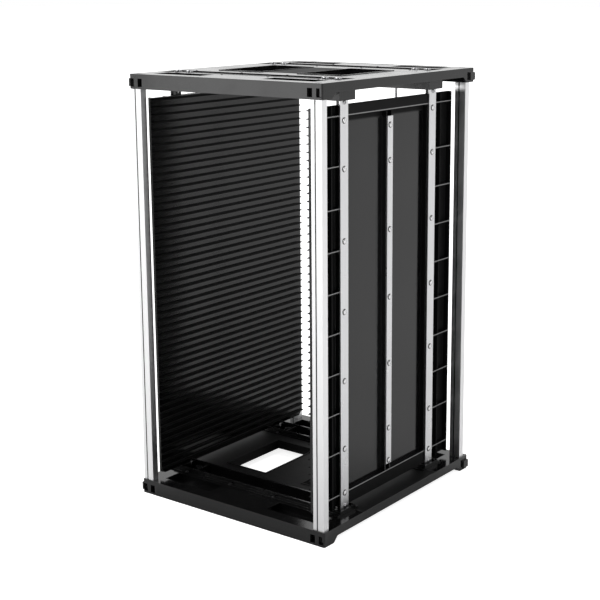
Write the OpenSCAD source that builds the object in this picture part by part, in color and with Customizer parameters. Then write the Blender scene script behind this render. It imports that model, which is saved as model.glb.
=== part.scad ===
// Adjustable magazine rack for printed circuit boards.
// Two identical end frames stand on four extruded posts. Two ribbed card walls
// stand between them: the right one is fixed, the left one slides along four
// cross guides to suit the width of the boards.
// X runs across the open front, Y runs from the front to the rear, Z is up.
// The origin is the centre of the footprint, on the surface that the feet touch.

/* [Rack] */
// Width across the end frames
rack_w = 316; // [304:1:336]
// Depth from the front bar to the rear bar
rack_d = 348; // [340:1:372]
// Height from the feet to the top face of the top frame
rack_h = 580; // [560:1:620]

/* [End frames] */
// Height of an end frame at its feet
frame_h = 19.5; // [18:0.5:22]
// Gap under the side rails, between the feet
foot_h = 7.5; // [6:0.5:8]
// Length of a corner foot along the side
foot_len = 20; // [18:1:24]
// Run of the slope from a foot up to the side rail
foot_slope = 8; // [5:1:12]
// Thickness of the plate that forms the top face
plate_t = 3; // [2:0.5:4]
// Thickness of the outer rim
rim_t = 3; // [2.5:0.5:4]
// Depth of the hollow front and rear bars
bar_d = 16; // [14:1:18]
// Thickness of the inner walls and ribs of a frame
frame_rib_t = 2; // [1.5:0.25:2.5]
// Chamfer down each outer corner
corner_cut = 1.6; // [1:0.1:2.5]
// Thickness of a corner block beside its post
corner_wall = 3; // [2.5:0.1:4]

/* [Frame openings] */
// Half width of the bridge between the two openings
bridge_half = 33; // [26:1:40]
// Width of each opening
opening_w = 68; // [56:1:70]
// Depth of each opening
opening_d = 114; // [90:1:120]
// Height of the lip round each opening
opening_lip = 0.8; // [0.4:0.1:1.2]
// Half width of the flat pad in the middle of each bay
pad_half = 48; // [40:1:56]
// Distance from a bay to the corner block
bay_gap = 4.4; // [3:0.1:12]

/* [Corner windows] */
// Width of each of the two windows in a corner's end face
window_w = 7.5; // [5:0.5:7.5]
// Height of a window
window_h = 10.5; // [8:0.5:10.5]
// Distance between the two windows
window_gap = 6; // [5:0.5:6.5]
// Depth of the outer window
window_depth = 3.4; // [2:0.1:3.4]
// Depth of the inner window
window_deep = 9; // [6:0.5:11]
// Reach of the side lug at two opposite corners
lug_reach = 2.7; // [2:0.1:3]
// Length of that lug
lug_len = 12; // [8:0.5:14]

/* [Posts] */
// Width of a post along X
post_w = 16.5; // [15:0.5:17]
// Depth of a post along Y
post_d = 10; // [9.5:0.5:10.5]
// Wall of the post's hollow section
post_wall = 1.6; // [1.2:0.1:2]
// Outer radius of the screw port along a post
port_r = 4.1; // [3.8:0.1:4.3]
// Width of the groove in the front face of a post
groove_w = 1.6; // [1:0.1:2]
// Distance of the groove's middle from the post's left edge
groove_x = 6.3; // [5:0.1:7]
// Distance from a post to the side of the rack
post_side_inset = 2.1; // [2:0.1:2.5]
// Distance from a front post to the front of the rack
post_front_inset = 1.6; // [1.5:0.1:2]
// Distance from a rear post to the rear of the rack
post_rear_inset = 9; // [8:0.5:9.5]
// Depth of the socket that a post stands in
socket_depth = 2.4; // [1.5:0.1:2.6]

/* [Tie bolts] */
// Diameter of a tie bolt
bolt_d = 5; // [4:0.5:5]
// Diameter of its head
bolt_head_d = 8.4; // [7.5:0.1:8.4]
// Height of its head
bolt_head_h = 2.6; // [2:0.1:2.6]
// Length of a tie bolt under its head
bolt_len = 36; // [28:1:50]

/* [Card walls] */
// Distance from the rack's right side to the rib tips of the fixed wall
fixed_inset = 36; // [34:1:44]
// Clearance between the left posts and the sliding wall's web at its widest
sliding_gap = 0.9; // [0.5:0.1:6]
// Distance from a wall's ends to the front and the rear of the rack
wall_setback = 14.7; // [12:0.1:20]
// Gap between a wall and the open edges of the lower guides
wall_gap_base = 1.5; // [1:0.1:3]
// Gap between a wall and the open edges of the upper guides
wall_gap_top = 6.5; // [1:0.1:10]
// Thickness of a wall's web
web_t = 3; // [2.5:0.1:3.5]
// Distance from the outer framework to the rear posts
stiff_gap = 1.7; // [1:0.1:6]
// Cut across the lower corners of a wall
wall_corner = 7; // [3:0.5:7.5]
// Depth of the outer framework beyond the web
stiff_d = 6.5; // [5:0.5:6.5]
// Thickness of the outer ribs
stiff_t = 2; // [1.5:0.1:2.5]
// Depth of the sunk centre panel's top band
top_band = 14; // [10:1:18]
// Depth of the sunk centre panel's bottom band
bottom_band = 18; // [12:1:22]

/* [Board ribs] */
// Distance from one board rib to the next
rib_pitch = 10; // [10:1:20]
// Height of the lowest rib above the wall's lower edge
rib_base = 8; // [7:0.5:10]
// Depth of a rib
rib_d = 3.5; // [2.5:0.1:4]
// Thickness of a rib
rib_t = 2.4; // [1.8:0.1:3.5]
// Length of the lead-in at each end of a rib
lead_in = 9; // [5:1:14]

/* [Straps] */
// Distance from the outer straps and their guides to the front and the rear of the rack
strap_inset = 72.5; // [70:0.5:76]
// Width of an outer strap
strap_w = 16.5; // [15:0.5:17]
// Thickness of every strap
strap_t = 2; // [1.5:0.1:2]
// Width of the middle strap
mid_strap_w = 12; // [10:0.5:14]
// Length of the middle strap beyond its lowest rivet
mid_strap_low = 4.5; // [4:0.5:8]
// Length of the middle strap beyond its highest rivet
mid_strap_high = 11.5; // [4:0.5:12]

/* [Rivets] */
// Diameter of a rivet's head
rivet_head_d = 6.4; // [5:0.1:7]
// Height of a rivet's head
rivet_head_h = 1.7; // [1.2:0.1:2]
// Diameter of a rivet's shank
rivet_d = 4; // [3:0.1:4.2]
// Spacing of the inner rivets
rivet_pitch = 91; // [80:1:96]
// Distance from the end rivets of an outer strap to the wall's edge
rivet_inset = 18.5; // [15:0.5:24]
// Distance from the end rivets of the middle strap to the wall's edge
mid_rivet_inset = 32.5; // [28:0.5:40]

/* [Cross guides] */
// Outer width of a guide
guide_w = 33; // [32:0.5:34]
// Thickness of a guide's walls
guide_t = 2.5; // [2:0.1:2.5]
// Reach of a guide's open edge from the outer face of its frame
guide_reach = 25.5; // [24:0.5:25.5]
// Height of the clamp screws' heads above the ground
head_clear = 0.5; // [0.4:0.1:1]
// Depth of the upper guides below the top face
guide_cap = 1.5; // [1:0.1:2]
// Gap between a strap and the end wall of its guide, at the widest
guide_end_gap = 2.5; // [2.3:0.1:2.6]
// Width of the flange along each side of a guide
flange_w = 6; // [5.5:0.25:6.5]
// Thickness of that flange
flange_t = 1.6; // [1.2:0.1:2]
// Clearance between a guide and its frame
guide_fit = 0.2; // [0.1:0.05:0.3]

/* [Carriers] */
// Running clearance of a carrier in its guide
carrier_fit = 0.3; // [0.2:0.05:0.4]
// Distance of a carrier's face below the open edge of its guide
carrier_drop = 1.5; // [1:0.5:3]
// Clearance of a carrier's neck between the ribs behind the strap
neck_fit = 0.75; // [0.5:0.05:1.5]
// Length of the neck beyond the wall's edge
neck_h = 7; // [6:0.5:10]
// Diameter of a clamp screw
clamp_d = 4.8; // [4:0.1:5]
// Distance between the two clamp screws of a carrier
clamp_pitch = 20; // [16:1:22]
// Distance from a clamp screw to the end of its carrier
clamp_edge = 7; // [6.5:0.1:8]
// Diameter of a clamp screw's head
clamp_head_d = 9; // [8:0.1:9.5]
// Height of a clamp screw's head
clamp_head_h = 2.4; // [2:0.1:2.4]
// Diameter of the washer under it
washer_d = 11; // [10:0.5:12]
// Thickness of the washer
washer_t = 1; // [0.8:0.1:1]
// Clearance of a clamp screw in the slot of its guide
slot_fit = 0.35; // [0.2:0.05:0.5]

/* [Stopper] */
// Diameter of the stopper rod
stop_d = 4; // [3:0.1:4]
// Place of the rod along its slots
stop_x = 35; // [-60:1:80]
// Width of the rod's slots
stop_slot_w = 6; // [5:0.1:6]
// Distance from each end of a slot to the side of the rack
stop_slot_inset = 40; // [34:1:60]
// Length of a shoe along its slot
shoe_len = 12; // [10:1:16]
// Clearance of a shoe in its slot
shoe_fit = 0.2; // [0.15:0.05:0.3]

/* [Hidden] */
$fn = 48;

EPS = 1;                                    // overrun of every cut
slide_gap = 0.1;                            // gap under a face that slides
half_w = rack_w / 2;
half_d = rack_d / 2;
strap_y = half_d - strap_inset;
top_frame_z = rack_h - frame_h;
wall_z = guide_reach + wall_gap_base;
wall_top = rack_h - guide_reach - wall_gap_top;
wall_mid_z = (wall_z + wall_top) / 2;
wall_half_h = (wall_top - wall_z) / 2;
wall_half = half_d - wall_setback;

// Posts
post_x = half_w - post_side_inset - post_w / 2;
post_front_y = -half_d + post_front_inset + post_d / 2;
post_rear_y = half_d - post_rear_inset - post_d / 2;
post_z = frame_h - socket_depth;
post_len = top_frame_z + socket_depth - post_z;
post_fit = 0.2;                             // clearance of a post in its socket
head_fit = 0.2;                             // clearance of a sunk bolt head
window_z = bolt_head_h + 2 * head_fit;      // the windows stay above the sunk heads
block_x = post_x - post_w / 2 - corner_wall;    // inner faces of the corner blocks
block_y = post_rear_y - post_d / 2 - corner_wall;

// Guides
guide_foot = head_clear + clamp_head_h + washer_t + slide_gap;
guide_bore_w = guide_w - 2 * guide_t;
trough_half = guide_w / 2 + flange_w + 0.3; // from a guide's middle to the rib beside it
slot_w = clamp_d + 2 * slot_fit;
// Walls, in their own frame: x grows from the rib tips outwards
web_x = rib_d;
stiff_x = rib_d + web_t;
strap_x = stiff_x + stiff_d;
wall_outer = strap_x + strap_t;
frame_half = post_rear_y - post_d / 2 - stiff_gap;  // half length of the outer framework
seat_in = strap_y - strap_w / 2 - 1;        // inner edge of an outer strap's seat
seat_out = strap_y + strap_w / 2 + 1;
grid_y = (seat_out + frame_half) / 2 - 8;   // middle rib of the end grids
fixed_tip_x = half_w - fixed_inset;
sliding_tip_x = -post_x + post_w / 2 + sliding_gap + stiff_x;
guide_x0 = sliding_tip_x - wall_outer - guide_end_gap - guide_t;
guide_x1 = fixed_tip_x + wall_outer + guide_end_gap + guide_t;
rib_z = wall_z + rib_base;
rib_count = floor((wall_top - rib_t / 2 - rib_z) / rib_pitch) + 1;
grid_pitch = 53;                            // spacing of the horizontal outer ribs
grid_offsets = [for (k = [-3.5 : 1 : 3.5]) k * grid_pitch];
strap_screw_d = 3;
strap_screw_head_d = 5.6;
strap_screw_head_h = 2;
strap_screw_z = guide_reach + strap_screw_head_d / 2;  // height of a strap's foot screw
rivet_steps = [-2, -1, 0, 1, 2];
outer_rivets = concat([for (k = rivet_steps) k * rivet_pitch],
                      [for (s = [-1, 1]) s * (wall_half_h - rivet_inset)]);
mid_rivets = concat([for (k = rivet_steps) k * rivet_pitch],
                    [for (s = [-1, 1]) s * (wall_half_h - mid_rivet_inset)]);
mid_strap_z0 = wall_z + mid_rivet_inset - mid_strap_low;
mid_strap_z1 = wall_top - mid_rivet_inset + mid_strap_high;
boss_r = rivet_d / 2 + 2.6;
shank_fit = 0.05;
rivet_skin = 1;                             // web left under the end of a rivet

slot_margin = guide_t + 4;                  // solid floor left at each end of a guide
flange_screw_d = 3;
flange_screw_head_d = 5;
flange_screw_head_h = 1.4;
flange_screw_y = guide_w / 2 + flange_w - flange_screw_head_d / 2 - 0.3;
flange_screw_steps = [0.1, 0.37, 0.63, 0.9];  // places along a guide

// Stopper
stop_y = half_d - bar_d / 2;
shoe_collar_h = 5;
shoe_collar_w = bar_d - 2 * rim_t - 1;

// Carriers, in a wall's frame
carrier_w = guide_bore_w - 2 * carrier_fit;
carrier_len = clamp_pitch + 2 * clamp_edge;
carrier_wall = 2.5;
neck_w = strap_w - 2 * stiff_t - 2 * neck_fit;
carrier_base_z = guide_foot + guide_t + carrier_fit;
carrier_top_z = rack_h - guide_cap - guide_t - carrier_fit;
carrier_face = guide_reach - carrier_drop;  // height of a carrier's face above the outer face
clamp_xs = [strap_x - clamp_edge, strap_x - clamp_edge - clamp_pitch];
clamp_grip = 10;                            // thread of a clamp screw in its carrier
clamp_boss_r = clamp_edge - carrier_wall + 0.4;  // the outer boss runs into the end wall

BLACK = [0.07, 0.07, 0.08];
WALL_BLACK = [0.05, 0.05, 0.055];
ALUMINIUM = [0.82, 0.83, 0.85];
STEEL = [0.72, 0.73, 0.75];
ZINC = [0.62, 0.63, 0.66];

// ---- helpers ----

module box(lo, hi) translate(lo) cube(hi - lo);

// Places a part made for the front half at its place in front and behind
module front_and_rear() for (s = [-1, 1]) scale([1, s, 1]) children();

// A domed head that stands on z = 0
module dome(d, h) {
    r = (d * d / 4 + h * h) / (2 * h);
    intersection() {
        translate([0, 0, h - r]) sphere(r);
        cylinder(d = d + EPS, h = h + EPS);
    }
}

// ---- end frames ----

module frame_outline() {
    c = corner_cut;
    polygon([
        [-half_w + c, -half_d], [half_w - c, -half_d], [half_w, -half_d + c], [half_w, half_d - c],
        [half_w - c, half_d], [-half_w + c, half_d], [-half_w, half_d - c], [-half_w, -half_d + c]
    ]);
}

// Space under the side rails, between the feet
module foot_relief() {
    y0 = half_d - foot_len;
    y1 = y0 - foot_slope;
    translate([-half_w - EPS, 0, 0]) rotate([90, 0, 90])
        linear_extrude(rack_w + 2 * EPS)
            polygon([[-y0 - EPS * foot_slope / foot_h, -EPS], [y0 + EPS * foot_slope / foot_h, -EPS],
                     [y1, foot_h], [-y1, foot_h]]);
}

module corner_windows() {
    outer_x = half_w - corner_cut - window_w;
    inner_x = outer_x - window_gap - window_w;
    depths = [window_depth, window_deep];
    for (sx = [-1, 1], sy = [-1, 1]) scale([sx, sy, 1])
        for (k = [0, 1]) {
            x = k == 0 ? outer_x : inner_x;
            box([x, -half_d - EPS, window_z],
                [x + window_w, -half_d + depths[k], window_z + window_h]);
        }
}

module post_places() {
    for (sx = [-1, 1], y = [post_front_y, post_rear_y]) translate([sx * post_x, y, 0]) children();
}

// Lugs on the sides, at the left front and right rear corners
module side_lugs() for (a = [0, 180]) rotate([0, 0, a])
    box([-half_w - lug_reach, -half_d + corner_cut, window_z],
        [-half_w + rim_t, -half_d + corner_cut + lug_len, window_z + window_h]);

// Places of the guide screws in a frame, seen from the middle line of a guide
module flange_screw_places() for (k = flange_screw_steps, s = [-1, 1])
    translate([guide_x0 + k * (guide_x1 - guide_x0), s * flange_screw_y, 0]) children();

// Both end frames are this moulding; bolt_face is the height of the face the tie bolts enter
module frame_moulding(bolt_face) {
    bay_y0 = half_d - bar_d;
    bay_y1 = strap_y + trough_half + frame_rib_t;
    bay_x1 = block_x - bay_gap;
    opening_x1 = bridge_half + opening_w;
    rib_shares = [-0.6, -0.2, 0.2, 0.6];
    head_z = bolt_face == 0 ? -EPS : frame_h - bolt_head_h - head_fit;
    difference() {
        union() {
            translate([0, 0, frame_h - plate_t]) linear_extrude(plate_t) frame_outline();
            linear_extrude(frame_h) difference() {
                frame_outline();
                square([rack_w - 2 * rim_t, rack_d - 2 * rim_t], center = true);
            }
            side_lugs();
            front_and_rear() {
                // Inner wall of a bar
                box([-half_w + rim_t, -bay_y0, 0], [half_w - rim_t, -bay_y0 + rim_t, frame_h]);
                // Troughs beside the guide
                for (e = [-1, 1]) translate([0, -strap_y + e * (trough_half + frame_rib_t / 2), 0])
                    box([-half_w + rim_t, -frame_rib_t / 2, foot_h],
                        [half_w - rim_t, frame_rib_t / 2, frame_h]);
                // Bays beside the pad
                for (sx = [-1, 1]) scale([sx, 1, 1])
                    box([pad_half, -bay_y0, foot_h], [bay_x1 + frame_rib_t, -bay_y1, frame_h]);
            }
            // Ribs inside the front bar
            for (k = rib_shares) translate([k * half_w, 0, 0])
                box([-frame_rib_t / 2, -half_d + rim_t, 0], [frame_rib_t / 2, -bay_y0, frame_h]);
            // Ribs under the bridge and the side plates
            for (k = rib_shares) translate([0, k * opening_d / 2, 0])
                box([-half_w + rim_t, -frame_rib_t / 2, foot_h],
                    [half_w - rim_t, frame_rib_t / 2, frame_h]);
            for (sx = [-1, 1]) scale([sx, 1, 1]) {
                for (sy = [-1, 1]) scale([1, sy, 1])
                    box([block_x, block_y, 0], [half_w - rim_t, half_d - rim_t, frame_h]);
                // Collar and lip round an opening
                box([bridge_half - frame_rib_t, -opening_d / 2 - frame_rib_t, foot_h],
                    [opening_x1 + frame_rib_t, opening_d / 2 + frame_rib_t, frame_h + opening_lip]);
            }
        }
        foot_relief();
        for (sx = [-1, 1]) scale([sx, 1, 1]) {
            box([bridge_half, -opening_d / 2, -EPS],
                [opening_x1, opening_d / 2, frame_h + opening_lip + EPS]);
            front_and_rear()
                box([pad_half + frame_rib_t, -bay_y0 + rim_t, foot_h + frame_rib_t],
                    [bay_x1, -bay_y1 - frame_rib_t, frame_h + EPS]);
        }
        // Cut-outs and screw holes for the guides
        front_and_rear() {
            box([guide_x0 - guide_fit, -strap_y - guide_w / 2 - guide_fit, -EPS],
                [guide_x1 + guide_fit, -strap_y + guide_w / 2 + guide_fit, frame_h + EPS]);
            translate([0, -strap_y, frame_h - plate_t - EPS]) flange_screw_places()
                cylinder(d = flange_screw_d + 2 * shank_fit, h = plate_t + 2 * EPS);
        }
        // Post sockets and tie bolts
        post_places() {
            translate([0, 0, bolt_face == 0 ? frame_h - socket_depth : -EPS])
                linear_extrude(socket_depth + EPS)
                    square([post_w + 2 * post_fit, post_d + 2 * post_fit], center = true);
            translate([0, 0, -EPS]) cylinder(d = bolt_d + 2 * head_fit, h = frame_h + 2 * EPS);
            translate([0, 0, head_z])
                cylinder(d = bolt_head_d + 2 * head_fit, h = bolt_head_h + head_fit + EPS);
        }
        corner_windows();
        // Slot for the stopper rod
        box([-half_w + stop_slot_inset, stop_y - stop_slot_w / 2, frame_h - plate_t - EPS],
            [half_w - stop_slot_inset, stop_y + stop_slot_w / 2, frame_h + EPS]);
    }
}

module base_frame() color(BLACK) frame_moulding(0);

module top_frame() color(BLACK) translate([0, 0, top_frame_z]) frame_moulding(frame_h);

// ---- cross guides ----

// A guide with its floor at z = 0 and its open edge at z = h; seat is the height of its flanges
module guide(h, seat) {
    outer = guide_w / 2;
    bore = guide_bore_w / 2;
    difference() {
        union() {
            box([guide_x0, -outer, 0], [guide_x1, outer, h]);
            box([guide_x0, -outer - flange_w, seat], [guide_x1, outer + flange_w, seat + flange_t]);
        }
        box([guide_x0 + guide_t, -bore, guide_t], [guide_x1 - guide_t, bore, h + EPS]);
        box([guide_x0 + slot_margin, -slot_w / 2, -EPS],
            [guide_x1 - slot_margin, slot_w / 2, guide_t + EPS]);
        translate([0, 0, seat - EPS]) flange_screw_places()
            cylinder(d = flange_screw_d + 2 * shank_fit, h = flange_t + 2 * EPS);
    }
}

module guide_base(s) color(BLACK) translate([0, s * strap_y, guide_foot])
    guide(guide_reach - guide_foot, frame_h - guide_foot);

module guide_top(s) color(BLACK) translate([0, s * strap_y, rack_h - guide_cap]) mirror([0, 0, 1])
    guide(guide_reach - guide_cap, plate_t - guide_cap);

module guide_base_front() guide_base(-1);
module guide_base_rear() guide_base(1);
module guide_top_front() guide_top(-1);
module guide_top_rear() guide_top(1);

// Screw with its head's underside at z = 0 and its shank below
module headed_screw(d, len, head_d, head_h) {
    translate([0, 0, -len]) cylinder(d = d, h = len + EPS / 2);
    dome(head_d, head_h);
}

module guide_screws() color(ZINC) for (s = [-1, 1]) translate([0, s * strap_y, 0]) {
    translate([0, 0, frame_h + flange_t]) flange_screw_places() flange_screw();
    translate([0, 0, rack_h - plate_t - flange_t]) mirror([0, 0, 1]) flange_screw_places()
        flange_screw();
}

module flange_screw() headed_screw(flange_screw_d, flange_t + plate_t - 0.4,
    flange_screw_head_d, flange_screw_head_h);

// ---- posts and tie bolts ----

module post_profile() {
    bore_d = post_d - 2 * post_wall;
    difference() {
        square([post_w, post_d], center = true);
        difference() {
            square([post_w - 2 * post_wall, bore_d], center = true);
            circle(r = port_r);
        }
        circle(d = bolt_d + 2 * shank_fit);
        translate([-post_w / 2 + groove_x - groove_w / 2, -post_d / 2 - EPS])
            square([groove_w, post_wall * 0.6 + EPS]);
    }
}

module post(sx, y) color(ALUMINIUM) translate([sx * post_x, y, post_z])
    linear_extrude(post_len) post_profile();

module post_front_left() post(-1, post_front_y);
module post_front_right() post(1, post_front_y);
module post_rear_left() post(-1, post_rear_y);
module post_rear_right() post(1, post_rear_y);

module tie_bolt() {
    translate([0, 0, -bolt_head_h]) difference() {
        cylinder(d = bolt_head_d, h = bolt_head_h);
        translate([0, 0, -EPS]) cylinder(d = bolt_d * 0.7, h = bolt_head_h * 0.6 + EPS, $fn = 6);
    }
    translate([0, 0, -EPS / 2]) cylinder(d = bolt_d, h = bolt_len + EPS / 2);
}

module tie_bolts() color(ZINC) post_places() {
    translate([0, 0, bolt_head_h + head_fit]) tie_bolt();
    translate([0, 0, rack_h - bolt_head_h - head_fit]) mirror([0, 0, 1]) tie_bolt();
}

// ---- card walls ----

// Puts a wall's parts, made with x = 0 at the rib tips, on the right or the left of the rack
module on_fixed_side() translate([fixed_tip_x, 0, 0]) children();
module on_sliding_side() translate([sliding_tip_x, 0, 0]) mirror([1, 0, 0]) children();

module board_rib() linear_extrude(rib_t, center = true)
    polygon([[web_x + EPS / 2, -wall_half], [web_x + EPS / 2, wall_half], [web_x, wall_half],
             [0, wall_half - lead_in], [0, -wall_half + lead_in], [web_x, -wall_half]]);

module wall_web() translate([web_x, 0, 0]) rotate([90, 0, 90]) linear_extrude(web_t)
    polygon([[-wall_half, wall_top], [-wall_half, wall_z + wall_corner],
             [-wall_half + wall_corner, wall_z], [wall_half - wall_corner, wall_z],
             [wall_half, wall_z + wall_corner], [wall_half, wall_top]]);

// Rivet bosses and the two ribs that carry a strap
module strap_seat(w, z0, z1, spots) {
    for (s = [-1, 1]) scale([1, s, 1])
        box([stiff_x - EPS / 2, w / 2 - stiff_t, z0], [strap_x, w / 2, z1]);
    for (k = spots) translate([stiff_x - EPS / 2, 0, wall_mid_z + k]) rotate([0, 90, 0])
        cylinder(r = boss_r, h = stiff_d + EPS / 2);
}

module card_wall() {
    panel_top = wall_top - top_band;
    panel_low = wall_z + bottom_band;
    difference() {
        union() {
            wall_web();
            for (k = [0 : rib_count - 1]) translate([0, 0, rib_z + k * rib_pitch]) board_rib();
            // Bands above and below the sunk panel
            for (b = [[panel_low - stiff_t, panel_low], [panel_top, panel_top + stiff_t]])
                box([stiff_x, -frame_half, b[0]], [strap_x, frame_half, b[1]]);
            box([strap_x - stiff_t, -seat_in, wall_z], [strap_x, seat_in, panel_low]);
            box([strap_x - stiff_t, -seat_in, panel_top], [strap_x, seat_in, wall_top]);
            strap_seat(mid_strap_w + 1, panel_low, panel_top, mid_rivets);
            front_and_rear() {
                translate([0, -strap_y, 0])
                    strap_seat(strap_w, wall_z, wall_top, outer_rivets);
                // Upright ribs of the end grid and the side of the sunk panel
                for (y = [frame_half - stiff_t, grid_y, seat_in - stiff_t])
                    box([stiff_x, -y - stiff_t, wall_z], [strap_x, -y, wall_top]);
                for (k = grid_offsets) translate([0, 0, wall_mid_z + k - stiff_t / 2])
                    box([stiff_x, -frame_half, 0],
                        [strap_x, -strap_y - strap_w / 2 + stiff_t, stiff_t]);
            }
        }
        // Rivet holes
        for (k = mid_rivets) rivet_hole(0, k);
        for (s = [-1, 1], k = outer_rivets) rivet_hole(s * strap_y, k);
    }
}

// Hole for a rivet, from inside the web out through the strap
module rivet_hole(y, k) translate([web_x + rivet_skin, y, wall_mid_z + k]) rotate([0, 90, 0])
    cylinder(d = rivet_d + 2 * shank_fit, h = wall_outer - web_x);

module fixed_wall() color(WALL_BLACK) on_fixed_side() card_wall();
module sliding_wall() color(WALL_BLACK) on_sliding_side() card_wall();

// ---- straps and rivets ----

module strap(y, w, z0, z1, rivets, screws) difference() {
    box([strap_x, y - w / 2, z0], [wall_outer, y + w / 2, z1]);
    for (k = rivets) rivet_hole(y, k);
    for (z = screws) translate([strap_x - EPS, y, z]) rotate([0, 90, 0])
        cylinder(d = strap_screw_d + 2 * shank_fit, h = strap_t + 2 * EPS);
}

module outer_strap(s) color(STEEL)
    strap(s * strap_y, strap_w, carrier_base_z, carrier_top_z, outer_rivets,
        [strap_screw_z, rack_h - strap_screw_z]);

module middle_strap() color(STEEL)
    strap(0, mid_strap_w, mid_strap_z0, mid_strap_z1, mid_rivets, []);

module rivet(y, k) translate([wall_outer, y, wall_mid_z + k]) rotate([0, 90, 0])
    headed_screw(rivet_d, wall_outer - web_x - rivet_skin, rivet_head_d, rivet_head_h);

module rivets() color(ZINC) {
    for (k = mid_rivets) rivet(0, k);
    for (s = [-1, 1], k = outer_rivets) rivet(s * strap_y, k);
}

module fixed_strap_front() on_fixed_side() outer_strap(-1);
module fixed_strap_rear() on_fixed_side() outer_strap(1);
module fixed_strap_middle() on_fixed_side() middle_strap();
module fixed_rivets() on_fixed_side() rivets();
module sliding_strap_front() on_sliding_side() outer_strap(-1);
module sliding_strap_rear() on_sliding_side() outer_strap(1);
module sliding_strap_middle() on_sliding_side() middle_strap();
module sliding_rivets() on_sliding_side() rivets();

// ---- carriers ----

// A carrier with its sliding face at z = 0; h is its height and neck the height of its neck
module carrier(h, neck, screw) {
    x0 = strap_x - carrier_len;
    y1 = carrier_w / 2;
    difference() {
        union() {
            difference() {
                box([x0, -y1, 0], [strap_x, y1, h]);
                box([x0 + carrier_wall, -y1 + carrier_wall, carrier_wall],
                    [stiff_x, y1 - carrier_wall, h + EPS]);
            }
            for (x = clamp_xs) translate([x, 0, 0]) cylinder(r = clamp_boss_r, h = h);
            box([stiff_x + carrier_fit, -neck_w / 2, 0], [strap_x, neck_w / 2, neck]);
        }
        for (x = clamp_xs) translate([x, 0, -EPS])
            cylinder(d = clamp_d + 2 * shank_fit, h = clamp_grip + 2 * EPS);
        translate([stiff_x, 0, screw]) rotate([0, 90, 0])
            cylinder(d = strap_screw_d + 2 * shank_fit, h = stiff_d + EPS);
    }
}

module carrier_base(s) color(BLACK) translate([0, s * strap_y, carrier_base_z])
    carrier(carrier_face - carrier_base_z, wall_z + neck_h - carrier_base_z,
        strap_screw_z - carrier_base_z);

module carrier_top(s) color(BLACK) translate([0, s * strap_y, carrier_top_z]) mirror([0, 0, 1])
    carrier(carrier_top_z - rack_h + carrier_face, carrier_top_z - wall_top + neck_h,
        carrier_top_z - rack_h + strap_screw_z);

module fixed_carrier_base_front() on_fixed_side() carrier_base(-1);
module fixed_carrier_base_rear() on_fixed_side() carrier_base(1);
module fixed_carrier_top_front() on_fixed_side() carrier_top(-1);
module fixed_carrier_top_rear() on_fixed_side() carrier_top(1);
module sliding_carrier_base_front() on_sliding_side() carrier_base(-1);
module sliding_carrier_base_rear() on_sliding_side() carrier_base(1);
module sliding_carrier_top_front() on_sliding_side() carrier_top(-1);
module sliding_carrier_top_rear() on_sliding_side() carrier_top(1);

// Places of the clamp screws on the outer faces of the guides' floors, with z pointing outwards
module clamp_places() for (s = [-1, 1], x = clamp_xs) {
    translate([x, s * strap_y, guide_foot - slide_gap]) mirror([0, 0, 1]) children();
    translate([x, s * strap_y, rack_h - guide_cap + slide_gap]) children();
}

module clamp_screws() color(ZINC) clamp_places() translate([0, 0, washer_t])
    headed_screw(clamp_d, washer_t + slide_gap + guide_t + carrier_fit + clamp_grip,
        clamp_head_d, clamp_head_h);

module washers() color(STEEL) clamp_places() linear_extrude(washer_t) difference() {
    circle(d = washer_d);
    circle(d = clamp_d + 2 * shank_fit);
}

module strap_screws() color(ZINC)
    for (s = [-1, 1], z = [strap_screw_z, rack_h - strap_screw_z])
        translate([wall_outer, s * strap_y, z]) rotate([0, 90, 0])
            headed_screw(strap_screw_d, strap_t + stiff_d - 1, strap_screw_head_d,
                strap_screw_head_h);

module fixed_clamp_screws() on_fixed_side() clamp_screws();
module fixed_washers() on_fixed_side() washers();
module fixed_strap_screws() on_fixed_side() strap_screws();
module sliding_clamp_screws() on_sliding_side() clamp_screws();
module sliding_washers() on_sliding_side() washers();
module sliding_strap_screws() on_sliding_side() strap_screws();

// ---- stopper ----

module stopper_rod() color(STEEL) translate([stop_x, stop_y, frame_h - plate_t])
    cylinder(d = stop_d, h = rack_h - frame_h + plate_t - slide_gap);

// A shoe with the plate's face at z = 0: a collar slides on the plate, a tongue in its slot
module shoe() difference() {
    union() {
        translate([0, 0, slide_gap]) shoe_block(shoe_collar_w, shoe_collar_h);
        translate([0, 0, -plate_t + slide_gap])
            shoe_block(stop_slot_w - 2 * shoe_fit, plate_t + slide_gap);
    }
    translate([0, 0, -plate_t - EPS])
        cylinder(d = stop_d + 2 * shank_fit, h = plate_t + shoe_collar_h + 2 * EPS);
}

module shoe_block(w, h) linear_extrude(h) intersection() {
    square([shoe_len, w], center = true);
    circle(d = shoe_len + 1);
}

module stopper_shoe_base() color(BLACK) translate([stop_x, stop_y, frame_h]) shoe();

module stopper_shoe_top() color(BLACK) translate([stop_x, stop_y, rack_h - plate_t])
    mirror([0, 0, 1]) shoe();

// ---- assembly ----

base_frame();
top_frame();
guide_base_front();
guide_base_rear();
guide_top_front();
guide_top_rear();
guide_screws();
post_front_left();
post_front_right();
post_rear_left();
post_rear_right();
tie_bolts();
fixed_wall();
fixed_strap_front();
fixed_strap_rear();
fixed_strap_middle();
fixed_rivets();
sliding_wall();
sliding_strap_front();
sliding_strap_rear();
sliding_strap_middle();
sliding_rivets();
fixed_carrier_base_front();
fixed_carrier_base_rear();
fixed_carrier_top_front();
fixed_carrier_top_rear();
sliding_carrier_base_front();
sliding_carrier_base_rear();
sliding_carrier_top_front();
sliding_carrier_top_rear();
fixed_clamp_screws();
fixed_washers();
fixed_strap_screws();
sliding_clamp_screws();
sliding_washers();
sliding_strap_screws();
stopper_rod();
stopper_shoe_base();
stopper_shoe_top();
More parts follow.
